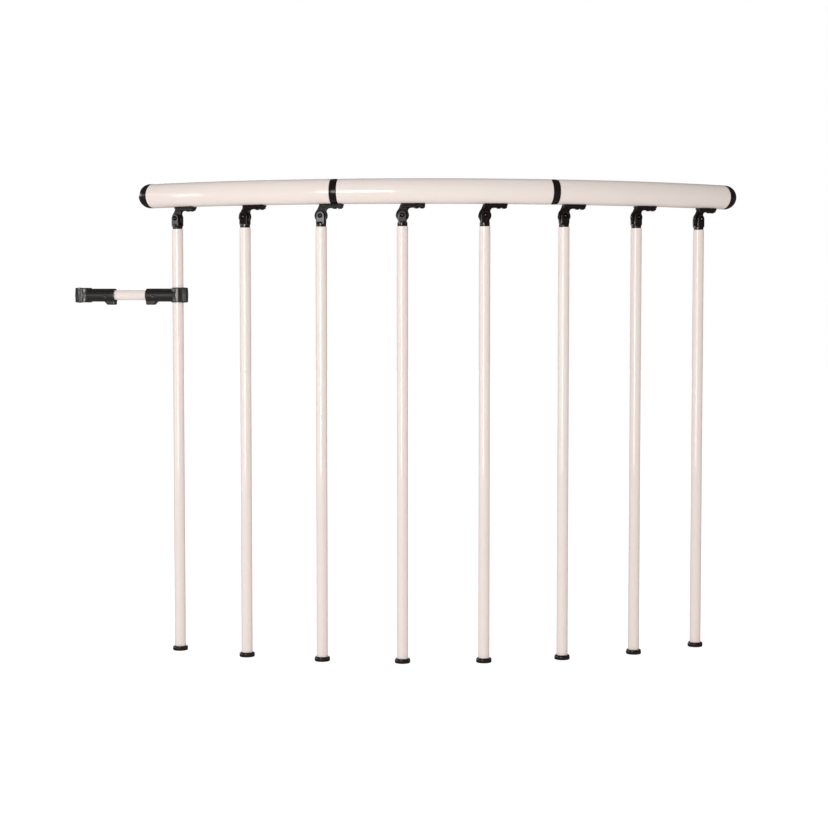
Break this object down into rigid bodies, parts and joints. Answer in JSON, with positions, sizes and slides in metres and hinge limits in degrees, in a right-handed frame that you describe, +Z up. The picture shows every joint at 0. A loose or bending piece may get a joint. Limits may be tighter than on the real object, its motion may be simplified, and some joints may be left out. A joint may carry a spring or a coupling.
{
  "type": "folding bed guard rail",
  "caption": "Curved free-standing guard: a bent tube handrail on upright posts that fold sideways on hinge brackets, with a short clamp arm at one end.",
  "frame": {"origin": "on the floor, under the middle of the box around the whole guard, arm included", "axes": "+Z up, +X along the rail to the right as seen from the bulging side, -Y towards the bulging side"},
  "size_m": [0.9938, 0.1886, 0.694],
  "materials": {
    "cream_paint": "semi-gloss powder coat",
    "black_plastic": "satin moulded",
    "foot_rubber": "smooth",
    "rivet_steel": "black zinc plated",
    "dark_steel": "black oxide"
  },
  "bodies": {
    "handrail": {"rail_tube_left": "cream_paint", "rail_tube_middle": "cream_paint", "rail_tube_right": "cream_paint", "coupler_left": "black_plastic", "coupler_right": "black_plastic", "end_cap_left": "black_plastic", "end_cap_right": "black_plastic", "bracket_1": "black_plastic", "bracket_screw_1": "dark_steel", "bracket_2": "black_plastic", "bracket_screw_2": "dark_steel", "bracket_3": "black_plastic", "bracket_screw_3": "dark_steel", "bracket_4": "black_plastic", "bracket_screw_4": "dark_steel", "bracket_5": "black_plastic", "bracket_screw_5": "dark_steel", "bracket_6": "black_plastic", "bracket_screw_6": "dark_steel", "bracket_7": "black_plastic", "bracket_screw_7": "dark_steel", "bracket_8": "black_plastic", "bracket_screw_8": "dark_steel"},
    "post_1": {"fork_1": "black_plastic", "pivot_rivet_1": "rivet_steel", "post_tube_1": "cream_paint", "foot_1": "foot_rubber"},
    "post_2": {"fork_2": "black_plastic", "pivot_rivet_2": "rivet_steel", "post_tube_2": "cream_paint", "foot_2": "foot_rubber"},
    "post_3": {"fork_3": "black_plastic", "pivot_rivet_3": "rivet_steel", "post_tube_3": "cream_paint", "foot_3": "foot_rubber"},
    "post_4": {"fork_4": "black_plastic", "pivot_rivet_4": "rivet_steel", "post_tube_4": "cream_paint", "foot_4": "foot_rubber"},
    "post_5": {"fork_5": "black_plastic", "pivot_rivet_5": "rivet_steel", "post_tube_5": "cream_paint", "foot_5": "foot_rubber"},
    "post_6": {"fork_6": "black_plastic", "pivot_rivet_6": "rivet_steel", "post_tube_6": "cream_paint", "foot_6": "foot_rubber"},
    "post_7": {"fork_7": "black_plastic", "pivot_rivet_7": "rivet_steel", "post_tube_7": "cream_paint", "foot_7": "foot_rubber"},
    "post_8": {"fork_8": "black_plastic", "pivot_rivet_8": "rivet_steel", "post_tube_8": "cream_paint", "foot_8": "foot_rubber"},
    "arm_inner": {"arm_clamp_inner": "black_plastic", "arm_screw_inner": "dark_steel"},
    "arm_reach": {"arm_tube": "cream_paint"},
    "arm_outer": {"arm_clamp_outer": "black_plastic", "arm_screw_outer": "dark_steel"}
  },
  "joints": [
    {"name": "post_1_fold", "type": "hinge", "parent": "handrail", "child": "post_1", "pos_m": [-0.3398, 0.04294, 0.642], "axis": [-0.5631, -0.8264, 0], "range_deg": [0, 75]},
    {"name": "post_2_fold", "type": "hinge", "parent": "handrail", "child": "post_2", "pos_m": [-0.23762, -0.01457, 0.642], "axis": [-0.4143, -0.9101, 0], "range_deg": [0, 75]},
    {"name": "post_3_fold", "type": "hinge", "parent": "handrail", "child": "post_3", "pos_m": [-0.12714, -0.05387, 0.642], "axis": [-0.2535, -0.9673, 0], "range_deg": [0, 75]},
    {"name": "post_4_fold", "type": "hinge", "parent": "handrail", "child": "post_4", "pos_m": [-0.01159, -0.07381, 0.642], "axis": [-0.0853, -0.9964, 0], "range_deg": [0, 75]},
    {"name": "post_5_fold", "type": "hinge", "parent": "handrail", "child": "post_5", "pos_m": [0.10566, -0.07381, 0.642], "axis": [0.0853, -0.9964, 0], "range_deg": [0, 75]},
    {"name": "post_6_fold", "type": "hinge", "parent": "handrail", "child": "post_6", "pos_m": [0.22121, -0.05387, 0.642], "axis": [0.2535, -0.9673, 0], "range_deg": [0, 75]},
    {"name": "post_7_fold", "type": "hinge", "parent": "handrail", "child": "post_7", "pos_m": [0.33169, -0.01457, 0.642], "axis": [0.4143, -0.9101, 0], "range_deg": [0, 75]},
    {"name": "post_8_fold", "type": "hinge", "parent": "handrail", "child": "post_8", "pos_m": [0.43387, 0.04294, 0.642], "axis": [0.5631, -0.8264, 0], "range_deg": [0, 75]},
    {"name": "arm_swivel", "type": "hinge", "parent": "post_1", "child": "arm_inner", "pos_m": [-0.3398, 0.04294, 0.529], "axis": [0, 0, 1], "range_deg": [-60, 60]},
    {"name": "arm_slide", "type": "slide", "parent": "arm_inner", "child": "arm_reach", "axis": [-0.9619, 0.2734, 0], "range_m": [0, 0.012]},
    {"name": "arm_turn", "type": "hinge", "parent": "arm_reach", "child": "arm_outer", "pos_m": [-0.48139, 0.08319, 0.529], "axis": [-0.9619, 0.2734, 0], "continuous": true}
  ],
  "couplings": [
    {"joint": "post_2_fold", "follows": "post_1_fold", "ratio": 1},
    {"joint": "post_3_fold", "follows": "post_1_fold", "ratio": 1},
    {"joint": "post_4_fold", "follows": "post_1_fold", "ratio": 1},
    {"joint": "post_5_fold", "follows": "post_1_fold", "ratio": 1},
    {"joint": "post_6_fold", "follows": "post_1_fold", "ratio": 1},
    {"joint": "post_7_fold", "follows": "post_1_fold", "ratio": 1},
    {"joint": "post_8_fold", "follows": "post_1_fold", "ratio": 1}
  ]
}
